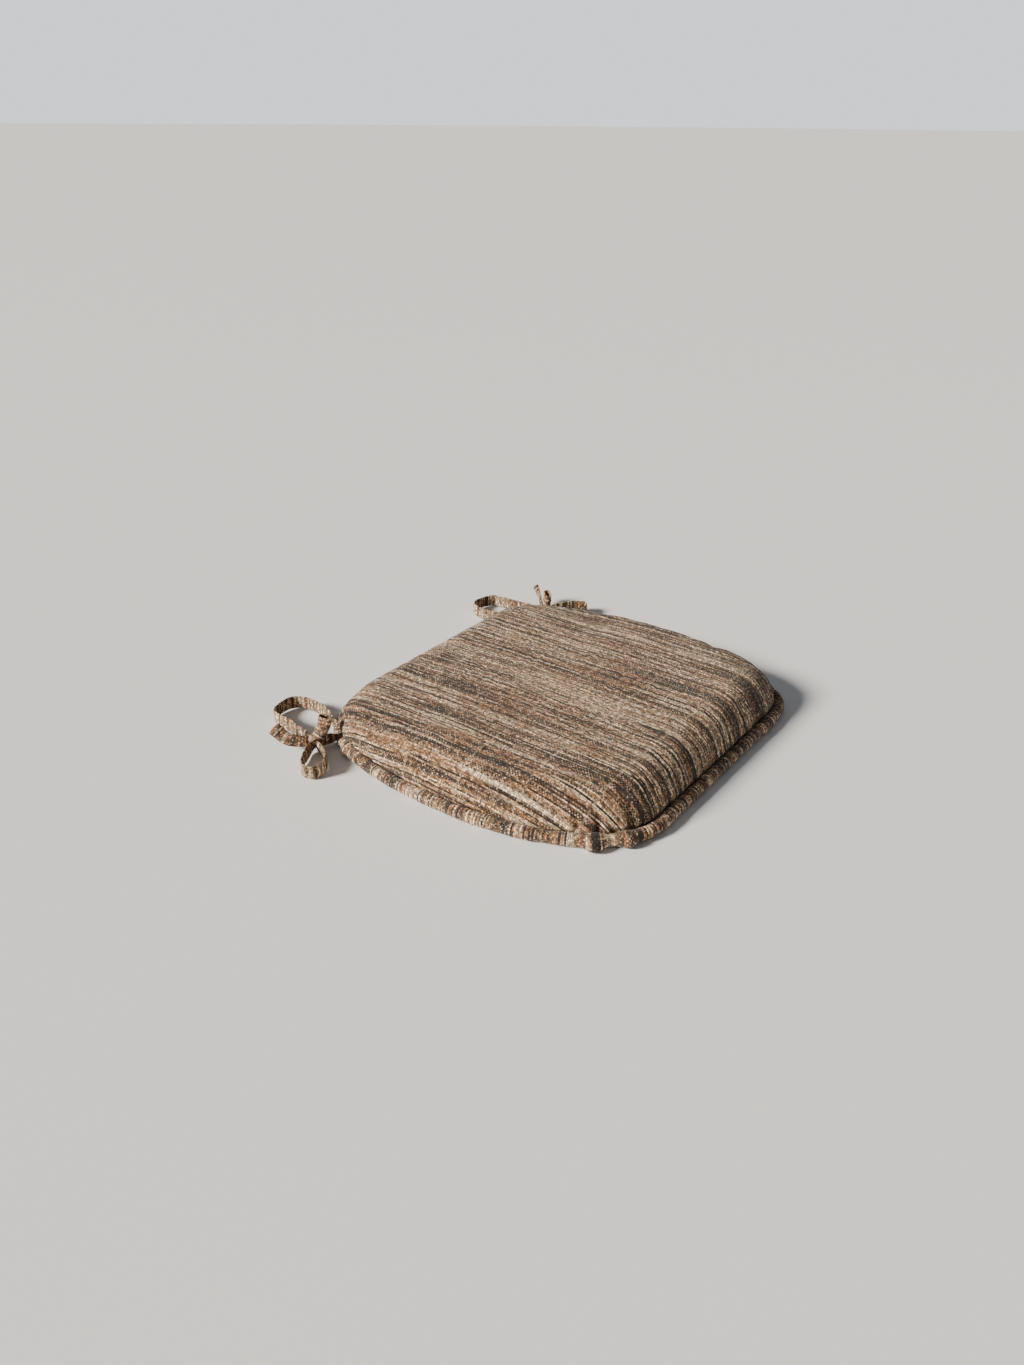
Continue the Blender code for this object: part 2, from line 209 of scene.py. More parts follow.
def chart_of(rows, cols):
    """The flat places of a grid whose rows and columns lie at these distances."""
    return np.stack(np.meshgrid(rows, cols, indexing="ij"), axis=2)


def face_out(piece):
    """Turns the faces of a closed mesh outwards."""
    bm = bmesh.new()
    bm.from_mesh(piece.data)
    bmesh.ops.recalc_face_normals(bm, faces=bm.faces)
    bm.to_mesh(piece.data)
    bm.free()


def dress(piece, finish, slot, *nodes):
    """Gives a new piece its finish, lets it ride on the cushion, and hides the CAD nodes that it replaces.
    """
    piece.data.materials.append(finish)
    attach(piece, CUSHION)
    if nodes:
        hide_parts(*nodes)


def thicken(piece, thickness):
    """Gives an open skin its thickness, laid inwards."""
    solid = piece.modifiers.new("thickness", "SOLIDIFY")
    solid.thickness = thickness
    solid.offset = -1


def rumple(a, b, seed, terms=7):
    """Uneven waves about 1 high: a sum of sines of a and b, whose turns and phases come from a seed."""
    rng = np.random.default_rng(seed)
    total = 0
    for _ in range(terms):
        turn, phase, pace = rng.uniform(0, math.pi), rng.uniform(0, 6.28), rng.uniform(0.6, 1.7)
        total = total + np.sin(pace * (a * math.cos(turn) + b * math.sin(turn)) + phase)
    return total / math.sqrt(terms)


def bump_at(x, middle, width, power=2):
    """A bell of height 1 about a middle; a higher power makes it rounder."""
    return np.exp(-(np.abs((x - middle) / width) ** power))


def smoothstep(x, start, end):
    """0 before start, 1 after end, and a smooth climb between them."""
    t = np.clip((x - start) / (end - start), 0, 1)
    return t * t * (3 - 2 * t)


# --- The pad's outline --------------------------------------------------------------------------

def columns():
    """Each column round the pad: its azimuth, the middle it is measured from, and its squareness."""
    azimuth, middle, power = [], [], []
    for quarter, (square, side) in enumerate(zip(SQUARENESS, (1, -1, -1, 1))):
        azimuth.append(math.pi / 2 * (quarter + np.arange(CORNER_COLUMNS) / CORNER_COLUMNS))
        middle.append(np.full(CORNER_COLUMNS, side * STRAIGHT))
        power.append(np.full(CORNER_COLUMNS, square))
        if quarter in (0, 2):
            azimuth.append(np.full(STRAIGHT_COLUMNS, math.pi / 2 * (quarter + 1)))
            middle.append(side * STRAIGHT * np.linspace(1, -1, STRAIGHT_COLUMNS, endpoint=False))
            power.append(np.full(STRAIGHT_COLUMNS, square))
    return [np.concatenate(part) for part in (azimuth, middle, power)]


AZIMUTH, MIDDLE, POWER = columns()
DEGREES = np.degrees(AZIMUTH)
BACK_MIDDLE = AZIMUTH == AZIMUTH[CORNER_COLUMNS]


def around(inset, z):
    """Points round the outline, drawn in by inset at height z, and the ways out from them.

    Each corner is a superellipse about the end of the straight middle, in polar form. It moves in
    along its own normal as far as the seam, and past that its half axes shrink.
    """
    inset, z = np.asarray(inset) + 0 * AZIMUTH, np.asarray(z) + 0 * AZIMUTH
    near = np.minimum(inset, SEAM)
    half_x, half_y = HALF_WIDTH - STRAIGHT - (inset - near), HALF_DEPTH - (inset - near)
    x, y = np.cos(AZIMUTH) + 0 * inset, np.sin(AZIMUTH) + 0 * inset
    far = (np.abs(x / half_x) ** POWER + np.abs(y / half_y) ** POWER) ** (-1 / POWER)
    x, y = x * far, y * far
    out = np.stack([np.sign(x) * np.abs(x / half_x) ** (POWER - 1) / half_x,
                    np.sign(y) * np.abs(y / half_y) ** (POWER - 1) / half_y], axis=-1)
    out /= np.linalg.norm(out, axis=-1, keepdims=True)
    return np.stack([x + MIDDLE - out[..., 0] * near, y - out[..., 1] * near, z], axis=-1), out


def run_along(points):
    """The distance along each row of points, from its first column round to it again."""
    steps = np.linalg.norm(np.diff(points, axis=-2, append=points[..., :1, :]), axis=-1)
    return np.concatenate([0 * steps[..., :1], np.cumsum(steps, axis=-1)], axis=-1)


def climb(share):
    """How much of its rise the dome has made, at a share of the way in from its spring."""
    return (1 - (1 - share) ** SHOULDER_POWER) ** FOOT_POWER


def way_in(height):
    """The share of the way in at which the dome has made that share of its rise."""
    return 1 - (1 - height ** (1 / FOOT_POWER)) ** (1 / SHOULDER_POWER)


def slump():
    """How much of its height each column's shoulder loses: the back right corner is the softest."""
    return 0.07 * bump_at(DEGREES, 52, 30) + 0.02 * bump_at(DEGREES, 128, 25)


def dome(depth, heights, crown_rows=20):
    """The domed top depth below the cover's outer face: its side at these heights, then its crown.

    The side goes in from the spring to the shoulder and up as climb says. The crown shrinks the
    shoulder's ring towards the middle, and rises as the square of the way.
    """
    low = np.clip((np.asarray(heights) - SPRING_Z) / RISE, 0, 1)
    share = np.concatenate([way_in(low), np.linspace(way_in(low[-1]), 1, 8)[1:]])[:, None]
    lean_out = 11.0 * MM * bump_at(DEGREES, 121, 22) + 4.0 * MM * bump_at(DEGREES, 155, 20)
    lean_out = lean_out * smoothstep(DEGREES, 98, 114) + 1.0 * MM * bump_at(DEGREES, 270, 40)
    lean_out = lean_out * np.sin(math.pi * share**0.42)
    side, out = around(SPRING_INSET + depth + (REACH - depth) * share - lean_out,
                       SPRING_Z + (RISE - depth) * climb(share) * (1 - slump() * share))
    size = np.linspace(1, CROWN_HUB, crown_rows)[1:]
    crown = shrunk(side[-1:], size)
    level = side[-1:, :, 2].mean()
    size = size[:, None]
    crown[..., 2] = level + (crown[..., 2] - level) * size**2 + CROWN * (1 - size**2)
    return np.concatenate([side, crown]), np.concatenate([out, np.repeat(out[-1:], crown_rows - 1, 0)])


def shrunk(ring, sizes):
    """Copies of a ring, drawn in towards the middle to each of these sizes at its own height."""
    size = np.asarray(sizes)[:, None, None]
    return ring * np.concatenate([size, size, 0 * size + 1], axis=2)


def flatten(points, out):
    """Each point's place in the flat cloth, in metres.

    From the middle outwards, the cloth that a slope takes up is laid out along the way out: the
    place is the point from above, moved out by the slope's length less its length from above.
    """
    step = np.diff(points[::-1], axis=0)
    extra = np.linalg.norm(step, axis=2) - np.linalg.norm(step[..., :2], axis=2)
    extra = np.concatenate([0 * extra[:1], np.cumsum(extra, axis=0)])[::-1]
    return points[..., :2] + out * extra[..., None]


# --- Finishes -----------------------------------------------------------------------------------

# How far the weave's unevenness reaches: the yarns' sway and fuzz, the dye's streaks and bands
# along and across the cloth, the dark yarns' slubs, and the clumps of light and dark crossings
SWAY_WIDE, SWAY_TALL = 1 / 55.0, 1 / 18.0
FUZZ = 1 / 1100.0
WARP_STREAK = 280 * MM
WEFT_STREAK = 4 * MM
BAND_WIDE, BAND_LONG = 22 * MM, 450 * MM
SLUB = 110 * MM
CLUMP_WIDE, CLUMP_LONG = 2.8 * MM, 4.5 * MM


class Nodes:
    """Adds shader nodes to one tree and joins them up."""

    def __init__(self, tree):
        self.tree = tree

    def add(self, kind, *values, **settings):
        """A node with its settings, whose first inputs take these values or sockets."""
        node = self.tree.nodes.new("ShaderNode" + kind)
        for key, value in settings.items():
            setattr(node, key, value)
        for socket, value in zip(node.inputs, values):
            self.put(socket, value)
        return node

    def put(self, socket, value):
        """Links a socket into an input, or sets the input's own value."""
        if isinstance(value, bpy.types.NodeSocket):
            self.tree.links.new(value, socket)
        elif value is not None:
            socket.default_value = value

    def math(self, operation, *values):
        return self.add("Math", *values, operation=operation).outputs[0]

    def times(self, a, b):
        return self.math("MULTIPLY", a, b)

    def line(self, value, slope, start):
        """value times slope, plus start."""
        return self.math("MULTIPLY_ADD", value, slope, start)

    def point(self, x=0.0, y=0.0, z=0.0):
        return self.add("CombineXYZ", x, y, z).outputs[0]

    def spread(self, value, low, high, to_low=0.0, to_high=1.0):
        """A value taken from one range to another and held inside it."""
        return self.add("MapRange", value, low, high, to_low, to_high).outputs[0]

    def noise(self, vector, scale=1.0, detail=2.0, rough=0.5, sides="2D"):
        node = self.add("TexNoise", noise_dimensions=sides)
        for key, value in (("Vector", vector), ("Scale", scale), ("Detail", detail), ("Roughness", rough)):
            self.put(node.inputs[key], value)
        return node.outputs[0]

    def chance(self, vector):
        """A number from 0 to 1 for each whole place, with no link to its neighbours'."""
        return self.add("TexWhiteNoise", vector, noise_dimensions="2D").outputs[0]

    def mix(self, factor, a, b, blend="MIX"):
        node = self.add("Mix", data_type="RGBA", blend_type=blend, clamp_factor=True)
        for index, value in ((0, factor), (6, a), (7, b)):
            self.put(node.inputs[index], value)
        return node.outputs[2]

    def ramp(self, value, *stops):
        """Colours at places from 0 to 1; a stop's colour is a value or a socket."""
        made = stops[0][1]
        for (start, _), (end, after) in zip(stops, stops[1:]):
            made = self.mix(self.spread(value, start, end), made, after)
        return made


def opaque(rgb):
    return (*rgb, 1.0)


def new_group(name, inputs, outputs):
    """A node group with named sockets, and its tree's inputs and outputs."""
    tree = bpy.data.node_groups.new(name, "ShaderNodeTree")
    for label, kind in inputs:
        tree.interface.new_socket(label, in_out="INPUT", socket_type="NodeSocket" + kind)
    for label, kind in outputs:
        tree.interface.new_socket(label, in_out="OUTPUT", socket_type="NodeSocket" + kind)
    return Nodes(tree), tree.nodes.new("NodeGroupInput").outputs, tree.nodes.new("NodeGroupOutput").inputs


def yarn_group(sizes, colours):
    """Space-dyed plain weave with painted shade in its gaps: the flat cloth's place in; colour, roughness
    and height out.

    Whole numbers of pitches name each yarn. Its dye is noise that is long along the yarn and
    jumps from yarn to yarn. The two sets of yarns show in turn, each rounded across.
    """
    tree, given, made = new_group(
        "space_dyed_weave", [("Place", "Vector"), ("Dark yarns", "Float")],
        [("Color", "Color"), ("Roughness", "Float"), ("Height", "Float")])
    place = tree.add("SeparateXYZ", given["Place"]).outputs

    def stretched(x, wide, y, tall):
        """Noise whose lumps are so wide in x and so tall in y."""
        return tree.point(tree.times(x, 1 / wide), tree.times(y, 1 / tall))

    sway = tree.noise(stretched(place[0], SWAY_WIDE, place[1], SWAY_TALL))
    fuzz = tree.noise(given["Place"], 1 / FUZZ, 3.0, 0.7)
    stray = tree.math("ADD", tree.line(sway, 1.6, -0.8), tree.line(fuzz, 0.9, -0.45))
    across = tree.line(place[0], 1 / sizes.warp_pitch, stray)
    along = tree.line(place[1], 1 / sizes.weft_pitch, stray)
    warp, weft = tree.math("FLOOR", across), tree.math("FLOOR", along)

    warp_dye = tree.noise(tree.point(tree.times(warp, 1.37), tree.times(place[1], 1 / WARP_STREAK)),
                          detail=4.0, rough=0.7)
    weft_dye = tree.noise(tree.point(tree.line(weft, 4.31, 70.0), tree.times(place[0], 1 / WEFT_STREAK)),
                          detail=3.0, rough=0.7)
    band = tree.noise(stretched(place[0], BAND_WIDE, place[1], BAND_LONG))
    warp_dye = tree.line(band, 0.36, tree.line(warp_dye, 1.15, -0.255))
    cream, tan, rust = opaque(colours.cream), opaque(colours.tan), opaque(colours.rust)
    grey, dark = opaque(colours.grey), opaque(colours.dark)
    warp_colour = tree.ramp(warp_dye, (0.38, dark), (0.43, grey), (0.47, rust), (0.52, tan), (0.60, cream))
    weft_colour = tree.ramp(weft_dye, (0.38, dark), (0.44, rust), (0.50, tan), (0.57, cream))

    slub = tree.noise(tree.point(tree.times(warp, 5.7), tree.times(place[1], 1 / SLUB)))
    chosen = tree.spread(tree.chance(tree.point(warp, 0.5)), 0.60, 0.72)
    dark_yarn = tree.times(tree.times(chosen, tree.spread(slub, 0.40, 0.52)), given["Dark yarns"])
    warp_colour = tree.mix(dark_yarn, warp_colour, dark)

    turn = tree.math("FRACT", tree.times(tree.math("ADD", warp, weft), 0.5))
    over = tree.spread(turn, 0.2, 0.3, 0.5, 1.0)
    shown = tree.math("MAXIMUM", over, tree.times(dark_yarn, 0.9))
    cloth = tree.mix(shown, weft_colour, warp_colour)

    rounds = []
    for count in (across, along):
        middle = tree.math("ABSOLUTE", tree.line(tree.math("FRACT", count), 2.0, -1.0))
        rounds.append(tree.math("SUBTRACT", 1.0, tree.math("POWER", middle, 2.5)))
    cell = tree.chance(tree.point(warp, weft))
    height = tree.times(tree.times(*rounds), tree.spread(cell, 0.0, 1.0, 0.65, 1.0))
    clump = tree.noise(stretched(place[0], CLUMP_WIDE, place[1], CLUMP_LONG))
    # The colour is multiplied down where the yarns' height is low: painted shade in the gaps between the
    # yarns. The chance, clump and fuzz factors are the yarns' random tone.
    gap_shade_and_speckle = tree.spread(height, 0.0, 0.75, 0.20, 1.15)
    for part in (tree.spread(tree.chance(tree.point(weft, warp)), 0.0, 1.0, 0.45, 1.5),
                 tree.spread(clump, 0.36, 0.62, 0.5, 1.6), tree.spread(fuzz, 0.25, 0.75, 0.7, 1.3)):
        gap_shade_and_speckle = tree.times(gap_shade_and_speckle, part)
    cloth = tree.mix(1.0, cloth, tree.add("CombineColor", gap_shade_and_speckle, gap_shade_and_speckle, gap_shade_and_speckle).outputs[0], "MULTIPLY")

    lines = []
    for axis, gap in ((1, sizes.check), (0, sizes.check * 1.27)):
        off = tree.math("PINGPONG", tree.math("ADD", place[axis], 0.3 * gap), gap / 2)
        lines.append(tree.spread(off, 0.6 * MM, 1.6 * MM, 1.0, 0.0))
    pale = tree.times(tree.math("MAXIMUM", *lines), tree.spread(cell, 0.3, 0.9, 0.0, 0.35))
    tree.put(made["Color"], tree.mix(pale, cloth, cream))
    tree.put(made["Roughness"], tree.spread(cell, 0.0, 1.0, 0.78, 0.95))
    tree.put(made["Height"], height)
    return tree.tree


def new_material(name):
    """A material's node helper and its Principled BSDF."""
    made = bpy.data.materials.new(name)
    made.use_nodes = True
    return made, Nodes(made.node_tree), made.node_tree.nodes["Principled BSDF"]


def bumped(tree, shader, height, distance, strength):
    """Feeds a height into a shader's normal."""
    bump = tree.add("Bump", strength, distance)
    tree.put(bump.inputs["Height"], height)
    tree.put(shader.inputs["Normal"], bump.outputs[0])


def woven(name, dark_yarns):
    """The pad's cloth. dark_yarns is how strongly the thin dark yarns show."""
    scene = bpy.context.scene
    weave = bpy.data.node_groups.get("space_dyed_weave") or yarn_group(scene.pad_sizes, scene.pad_colours)
    made, tree, shader = new_material(name)
    yarns = tree.add("Group", node_tree=weave)
    tree.put(yarns.inputs["Place"], tree.add("UVMap", uv_map="cloth").outputs[0])
    tree.put(yarns.inputs["Dark yarns"], dark_yarns)
    tree.put(shader.inputs["Base Color"], yarns.outputs["Color"])
    tree.put(shader.inputs["Roughness"], yarns.outputs["Roughness"])
    tree.put(shader.inputs["Sheen Weight"], 0.12)
    tree.put(shader.inputs["Sheen Roughness"], 0.5)
    bumped(tree, shader, yarns.outputs["Height"], 0.5 * MM, 0.8)
    return made


def fleck_group():
    """Fine unevenness from the object's own place: a mask and a height, at a scale in 1/metres."""
    tree, given, made = new_group("fine_flecks", [("Scale", "Float"), ("Contrast", "Float")],
                                  [("Mask", "Float"), ("Height", "Float")])
    place = tree.add("TexCoord").outputs["Object"]
    fleck = tree.noise(place, given["Scale"], 4.0, 0.6, "3D")
    spread = tree.line(tree.math("SUBTRACT", fleck, 0.5), given["Contrast"], 0.5)
    tree.put(made["Mask"], spread)
    tree.put(made["Height"], fleck)
    return tree.tree


def flecked(name, light, deep, scale, contrast, rough, bump, metallic=0.0):
    """A finish of two mixed tones with fine unevenness."""
    made, tree, shader = new_material(name)
    fleck = tree.add("Group", node_tree=bpy.data.node_groups.get("fine_flecks") or fleck_group())
    fleck.inputs["Scale"].default_value = scale
    fleck.inputs["Contrast"].default_value = contrast
    mask = fleck.outputs["Mask"]
    tree.put(shader.inputs["Base Color"], tree.mix(mask, opaque(deep), opaque(light)))
    tree.put(shader.inputs["Roughness"], tree.spread(mask, 0.0, 1.0, rough + 0.08, rough - 0.08))
    shader.inputs["Metallic"].default_value = metallic
    bumped(tree, shader, fleck.outputs["Height"], bump, 0.6)
    return made


def darker(rgb, share):
    return tuple(channel * share for channel in rgb)


def ribbed(name, rgb, pitch, rough):
    """Zip tape: fine slanted ribs across a woven tape, from the object's own place."""
    made, tree, shader = new_material(name)
    place = tree.add("SeparateXYZ", tree.add("TexCoord").outputs["Object"]).outputs
    zigzag = tree.math("PINGPONG", place[2], 1.2 * MM)
    rib = tree.math("FRACT", tree.times(tree.math("ADD", place[0], zigzag), 1 / pitch))
    rib = tree.math("PINGPONG", rib, 0.5)
    # Darker towards the bottom of each rib, as the bump is: painted shade in the troughs between the ribs.
    tree.put(shader.inputs["Base Color"], tree.mix(tree.spread(rib, 0.0, 0.5), opaque(darker(rgb, 0.5)),
                                                   opaque(rgb)))
    shader.inputs["Roughness"].default_value = rough
    bumped(tree, shader, rib, 0.3 * MM, 0.5)
    return made


def twisted(name, rgb):
    """Cotton cord: three plies that wind round it, from its own chart."""
    made, tree, shader = new_material(name)
    place = tree.add("SeparateXYZ", tree.add("UVMap", uv_map="cloth").outputs[0]).outputs
    ply = tree.line(place[0], 1 / (9.0 * MM), tree.times(place[1], 1 / (9.8 * MM)))
    groove = tree.math("PINGPONG", tree.math("FRACT", ply), 0.5)
    # Darker along the grooves between the plies, where the bump is lowest: painted shade.
    tree.put(shader.inputs["Base Color"], tree.mix(tree.spread(groove, 0.0, 0.2), opaque(darker(rgb, 0.45)),
                                                   opaque(rgb)))
    shader.inputs["Roughness"].default_value = 0.9
    bumped(tree, shader, groove, 1.2 * MM, 0.8)
    return made


# --- The stage ----------------------------------------------------------------------------------

KEY_FROM, KEY_SPREAD = (-0.80, 0.48, 0.50), math.radians(14)
FILL_FROM, FILL_SIZE = (0.5, -1.3, 1.2), 1.4
WARM, COOL = (1.0, 0.93, 0.83), (0.92, 0.96, 1.0)
AIR = (0.93, 0.96, 1.0)
PAPER, PAPER_SHADE = (0.88, 0.88, 0.88), (0.85, 0.85, 0.86)
FLOOR_DROP = 0.2 * MM
FLOOR_RINGS = (0.5, 1.5, 4.0, 12.0, 40.0)


class PAD_OT_stage(bpy.types.Operator):
    """Sets up the camera, the soft lights and a pale floor"""

    bl_idname = "pad.stage"
    bl_label = "Studio"

    def execute(self, context):
        studio = context.scene.studio
        view = Vector((math.cos(studio.dip) * math.cos(studio.heading),
                       math.cos(studio.dip) * math.sin(studio.heading), -math.sin(studio.dip)))
        right = view.cross(Vector((0, 0, 1))).normalized()
        right = math.cos(studio.roll) * right + math.sin(studio.roll) * right.cross(view)
        eye = bpy.data.cameras.new("camera")
        eye.lens = studio.lens
        eye.clip_start = 0.01
        camera = bpy.data.objects.new("camera", eye)
        axes = Matrix((right, right.cross(view), -view)).transposed().to_4x4()
        camera.matrix_world = Matrix.Translation(studio.camera) @ axes
        context.scene.collection.objects.link(camera)
        context.scene.camera = camera

        for name, kind, power, place, tone in (("key", "SUN", studio.key, KEY_FROM, WARM),
                                               ("fill", "AREA", studio.fill, FILL_FROM, COOL)):
            lamp = bpy.data.lights.new(name, kind)
            lamp.energy, lamp.color = power, tone
            if kind == "SUN":
                lamp.angle = KEY_SPREAD
            else:
                lamp.size = FILL_SIZE
            light = bpy.data.objects.new(name, lamp)
            light.location = place
            light.rotation_euler = (-Vector(place)).to_track_quat("-Z", "Y").to_euler()
            context.scene.collection.objects.link(light)
        world = bpy.data.worlds.new("studio_air")
        world.use_nodes = True
        tree = Nodes(world.node_tree)
        air = world.node_tree.nodes["Background"]
        tree.put(air.inputs["Color"], opaque(AIR))
        seen = tree.add("LightPath").outputs["Is Camera Ray"]
        tree.put(air.inputs["Strength"], tree.spread(seen, 0.0, 1.0, studio.air, studio.backdrop))
        context.scene.world = world

        reach = np.array(FLOOR_RINGS)[:, None]
        turn = np.linspace(2 * math.pi, 0, 64, endpoint=False)
        rings = np.stack([reach * np.cos(turn), reach * np.sin(turn), 0 * reach * turn], axis=2)
        floor = skin("studio_floor", rings, close_start=True)
        floor.data.materials.append(flecked("studio_paper", PAPER, PAPER_SHADE, 3.0, 0.8, 0.85,
                                            0.1 * MM))
        floor.location.z = -FLOOR_DROP
        return {"FINISHED"}


# --- The ties -----------------------------------------------------------------------------------

# How a strap's section closes at an end, and how far past the end each step of it reaches
END_SIZES, END_REACH = np.array((0.35, 0.8)), np.array((0.9, 0.5)) * MM
# The same for the lip of an open end, and the size of the hole inside it
LIP_SIZES, LIP_REACH, HOLE_SIZE = (0.97, 0.84), 0.5 * MM, 0.74
SQUEEZED = 11 * MM
STUB_WIDTH, STUB_THICK, STUB_PIT = 13.0 * MM, 8.0 * MM, 9 * MM
STUB_FACE = np.array((0.57, -0.82, 0.0))
TAIL_LEAN = np.array((0.35, -0.2, 0.0))
KNOT_RADIUS = 6.6 * MM
KNOT_AXIS = np.array((0.72, -0.50, 0.10))
# Folds round the knot: where, in radians, and how deep
KNOT_FOLDS = ((0.5, 1.0), (2.2, 0.8), (3.6, 1.1), (5.2, 0.9))


def raised(route):
    """A level route at the height of the middle of the straps."""
    return tuple((x, y, STRAP_Z) for x, y in route)


def smooth(route, step):
    """Points about step apart on a Catmull-Rom curve through a route in millimetres."""
    route = np.array(route, float) * MM
    ends = np.vstack([2 * route[0] - route[1], route, 2 * route[-1] - route[-2]])
    line = []
    for a, b, c, d in zip(ends, ends[1:], ends[2:], ends[3:]):
        t = np.arange(max(2, round(np.linalg.norm(c - b) / step)))[:, None]
        t = t / len(t)
        line.append(0.5 * (2 * b + (c - a) * t + (2 * a - 5 * b + 4 * c - d) * t**2
                           + (3 * b - a - 3 * c + d) * t**3))
    return np.concatenate(line + [route[-1:]])


def strap_skin(line, across, width, thick, seed, pit=0.0):
    """A folded strap along a line: a flat oval carried along it, with creases across and a rounded end.

    across is the way that the width lies at each point; width and thick are the section there. A pit
    turns the far end's wall back in to that depth, as on an open tube.
    """
    gone = np.concatenate([[0], np.cumsum(np.linalg.norm(np.diff(line, axis=0), axis=1))])
    along = np.gradient(line, axis=0)
    along /= np.linalg.norm(along, axis=1, keepdims=True)
    across = across - (across * along).sum(1, keepdims=True) * along
    across /= np.linalg.norm(across, axis=1, keepdims=True)
    face = np.cross(along, across)
    turn = np.linspace(0, 2 * math.pi, 32, endpoint=False)
    wide, deep = np.cos(turn), np.sin(turn)
    wide, deep = np.sign(wide) * np.abs(wide) ** 0.75, np.sign(deep) * np.abs(deep) ** 0.75

    last = len(line) - 1
    if pit:
        end_sizes = np.append(LIP_SIZES, np.full(6, HOLE_SIZE))
        end_reach = np.append((LIP_REACH, LIP_REACH), -pit * np.linspace(0, 1, 6))
    else:
        end_sizes, end_reach = END_SIZES[::-1], END_REACH[::-1]
    rows = np.concatenate([[0, 0], np.arange(len(line)), np.full(len(end_sizes), last)])
    scale = np.concatenate([END_SIZES, np.ones(len(line)), end_sizes])
    shift = np.concatenate([-END_REACH, np.zeros(len(line)), end_reach])
    half_wide = (width / 2)[rows][:, None] * wide * scale[:, None]
    half_thick = (thick / 2)[rows][:, None] * deep * scale[:, None]
    place = gone[rows] + shift
    crease = rumple(place[:, None] / (1.6 * MM), half_wide / (2.4 * MM), seed)
    swell = rumple(place[:, None] / (4.5 * MM), half_wide / (5.0 * MM), seed + 1)
    half_thick = half_thick + (0.20 * crease + 0.40 * swell) * MM * scale[:, None]
    half_wide = half_wide + 0.30 * MM * rumple(place[:, None] / (3.0 * MM), deep * 1.5, seed + 2)
    points = (line[rows] + along[rows] * shift[:, None])[:, None]
    points = points + across[rows][:, None] * half_wide[..., None]
    points = points + face[rows][:, None] * half_thick[..., None]
    points[..., 2] = np.maximum(points[..., 2], 0.15 * MM)
    girth = np.append(turn, 2 * math.pi) / math.pi * (width.max() + thick.max())
    return points, chart_of(place, girth), gone[-1]


def knot_skin(side):
    """The wrap of the knot: a barrel lying towards the pad's corner, with folds that wind round it.

    Its radius follows a rounded barrel, swells and creases along slanting lines, and is pinched
    where the straps go in at its ends.
    """
    turn = np.linspace(0, 2 * math.pi, 64, endpoint=False)
    way = np.linspace(-1, 1, 41)[:, None]
    barrel = (1 - np.abs(way) ** 3.2) ** (1 / 2.4)
    slant = turn + 1.1 * way
    folds = 0
    for middle, depth in KNOT_FOLDS:
        off = np.angle(np.exp(1j * (slant - middle)))
        folds = folds - depth * bump_at(off, 0, 0.16) + 0.5 * depth * bump_at(off, 0.42, 0.3)
    uneven = 0.75 * folds + 0.35 * rumple(turn * 0 + 3 * way, 2.0 * np.sin(turn), 5)
    radius = (KNOT_RADIUS + uneven * MM) * barrel
    axis = KNOT_AXIS / np.linalg.norm(KNOT_AXIS)
    up = np.array((0.0, 0.0, 1.0)) - axis[2] * axis
    up /= np.linalg.norm(up)
    level = np.cross(axis, up)
    ring = np.cos(turn)[:, None] * level + np.sin(turn)[:, None] * up * 1.08
    points = KNOT + way[..., None] * KNOT_RADIUS * axis + radius[..., None] * ring
    points[..., 2] = np.maximum(points[..., 2], 0.3 * MM)
    points[..., 0] *= -side
    chart = chart_of(way.ravel(), np.append(turn, 2 * math.pi)) * KNOT_RADIUS
    return points[1:-1], chart[1:-1]


class PAD_OT_ties(bpy.types.Operator):
    """Makes the two straps and the knot at each back corner"""

    bl_idname = "pad.ties"
    bl_label = "Ties"

    def execute(self, context):
        sizes = context.scene.pad_sizes
        cloth = woven("strap_cloth", dark_yarns=0.8)
        for label, side in (("left", -1), ("right", 1)):
            points, chart = knot_skin(side)
            knot = skin(f"tie_{label}_knot_wrap", points, chart, close_start=True, close_end=True)
            face_out(knot)
            dress(knot, cloth, "woven_cloth", f"tie_{label}_knot")
            self.strap(label, side, "front", sizes, cloth, knot, raised(FRONT_STRAP) + raised(LOOP)
                       + SHORT_TAIL, ("front_strap", "loop", "short_tail"))
            self.strap(label, side, "back", sizes, cloth, knot, raised(BACK_STRAP) + LONG_TAIL,
                       ("back_strap", "long_tail"))
        return {"FINISHED"}

    @staticmethod
    def strap(label, side, which, sizes, cloth, knot, route, nodes):
        """One strap from the pad's seam to its free end, through the knot."""
        line = smooth(route, 1.5 * MM)
        from_knot = np.linalg.norm(line - KNOT, axis=1)
        share = np.linspace(0, 1, len(line))
        squeeze = bump_at(from_knot, 0, SQUEEZED)
        width = sizes.strap * (1 - 0.38 * squeeze)
        thick = sizes.strap_thick * (1 + 0.9 * squeeze)
        width = width * (0.4 + 0.6 * smoothstep(share * len(line), 0, 10))
        across = np.zeros_like(line) + (0.0, 0.0, 1.0)
        pit = 0.0
        if which == "front":
            stub = smoothstep(line[:, 2], 11 * MM, 19 * MM)
            across = across * (1 - stub[:, None]) + STUB_FACE * stub[:, None]
            width = width * (1 - stub) + STUB_WIDTH * stub
            thick = thick * (1 - stub) + STUB_THICK * stub
            pit = STUB_PIT
        else:
            tip = smoothstep(share, 0.93, 1.0)
            thick = thick * (1 + 1.3 * tip)
            lean = smoothstep(share, 0.86, 1.0)[:, None]
            across = across * (1 - 0.35 * lean) + TAIL_LEAN * lean
        seed = 11 if which == "front" else 23
        points, chart, reach = strap_skin(line, across, width, thick, seed, pit)
        points[..., 0] *= -side
        line = line * (-side, 1, 1)
        piece = skin(f"tie_{label}_{which}_strap_cloth", points, chart, close_start=True, close_end=True)
        face_out(piece)
        dress(piece, cloth, "woven_cloth", *[f"tie_{label}_{node}" for node in nodes])


# --- The cover ----------------------------------------------------------------------------------

